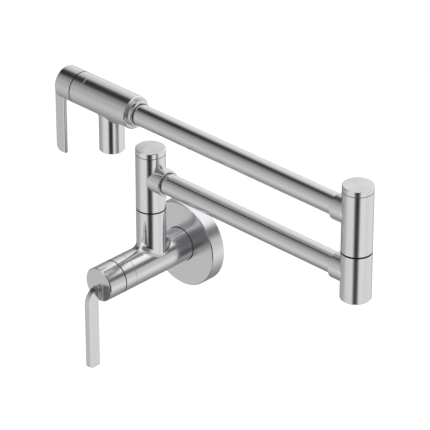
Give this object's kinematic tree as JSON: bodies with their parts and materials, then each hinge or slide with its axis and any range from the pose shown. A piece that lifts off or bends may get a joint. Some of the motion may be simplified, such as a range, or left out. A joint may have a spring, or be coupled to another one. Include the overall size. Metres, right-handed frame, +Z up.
{
  "type": "wall mounted pot filler",
  "caption": "Wall mounted pot filler: round wall flange, tapped inlet, tube arms that fold on swivel posts, and a quarter-turn lever valve at the wall and at the spout.",
  "frame": {"origin": "centre of the inlet's mouth on the wall plane, at the back of the wall flange", "axes": "+Y into the wall, -Y out of it, +X along the lower arm from the wall post to the elbow, +Z up"},
  "size_m": [0.3896, 0.1366, 0.257],
  "materials": {
    "brushed_steel": "brushed",
    "brass": "machined",
    "seal_rubber": "moulded",
    "ceramic": "lapped ceramic",
    "bearing_plastic": "matte",
    "small_steel": "plain",
    "chrome": "polished",
    "white_plastic": "moulded"
  },
  "bodies": {
    "wall_body": {"wall_flange": "brushed_steel", "flange_gasket": "seal_rubber", "flange_oring": "seal_rubber", "tee_body": "brushed_steel", "wall_bonnet": "brushed_steel", "wall_cartridge": "brass", "wall_fixed_disc": "ceramic", "post_spigot": "brass", "post_orings": "seal_rubber", "post_clip": "small_steel", "post_washer": "bearing_plastic"},
    "wall_handle": {"wall_hub": "brushed_steel", "wall_lever": "brushed_steel", "wall_set_screw": "small_steel", "wall_stem": "brass", "wall_moving_disc": "ceramic"},
    "lower_arm": {"lower_sleeve": "brushed_steel", "lower_cap": "brushed_steel", "lower_cap_oring": "seal_rubber", "lower_collar": "brushed_steel", "lower_tube": "brushed_steel", "elbow_lower_collar": "brushed_steel", "elbow_lower_housing": "brushed_steel", "elbow_spigot": "brass", "elbow_orings": "seal_rubber", "elbow_clip": "small_steel", "elbow_washer": "bearing_plastic"},
    "upper_arm": {"elbow_upper_housing": "brushed_steel", "elbow_cap": "brushed_steel", "elbow_cap_oring": "seal_rubber", "elbow_upper_collar": "brushed_steel", "upper_tube": "brushed_steel", "outlet_collar": "brushed_steel", "outlet_body": "brushed_steel", "outlet_bonnet": "brushed_steel", "outlet_cartridge": "brass", "outlet_fixed_disc": "ceramic", "aerator_shell": "chrome", "aerator_insert": "white_plastic"},
    "outlet_handle": {"outlet_hub": "brushed_steel", "outlet_lever": "brushed_steel", "outlet_set_screw": "small_steel", "outlet_stem": "brass", "outlet_moving_disc": "ceramic"}
  },
  "joints": [
    {"name": "wall_valve", "type": "hinge", "parent": "wall_body", "child": "wall_handle", "pos_m": [0, -0.1, 0], "axis": [0, -1, 0], "range_deg": [0, 90]},
    {"name": "lower_arm_swing", "type": "hinge", "parent": "wall_body", "child": "lower_arm", "pos_m": [0, -0.053, 0.055], "axis": [0, 0, 1], "range_deg": [-180, 0]},
    {"name": "upper_arm_swing", "type": "hinge", "parent": "lower_arm", "child": "upper_arm", "pos_m": [0.252, -0.053, 0.11], "axis": [0, 0, 1], "continuous": true},
    {"name": "outlet_valve", "type": "hinge", "parent": "upper_arm", "child": "outlet_handle", "pos_m": [-0.09, -0.053, 0.145], "axis": [-1, 0, 0], "range_deg": [0, 90]}
  ]
}
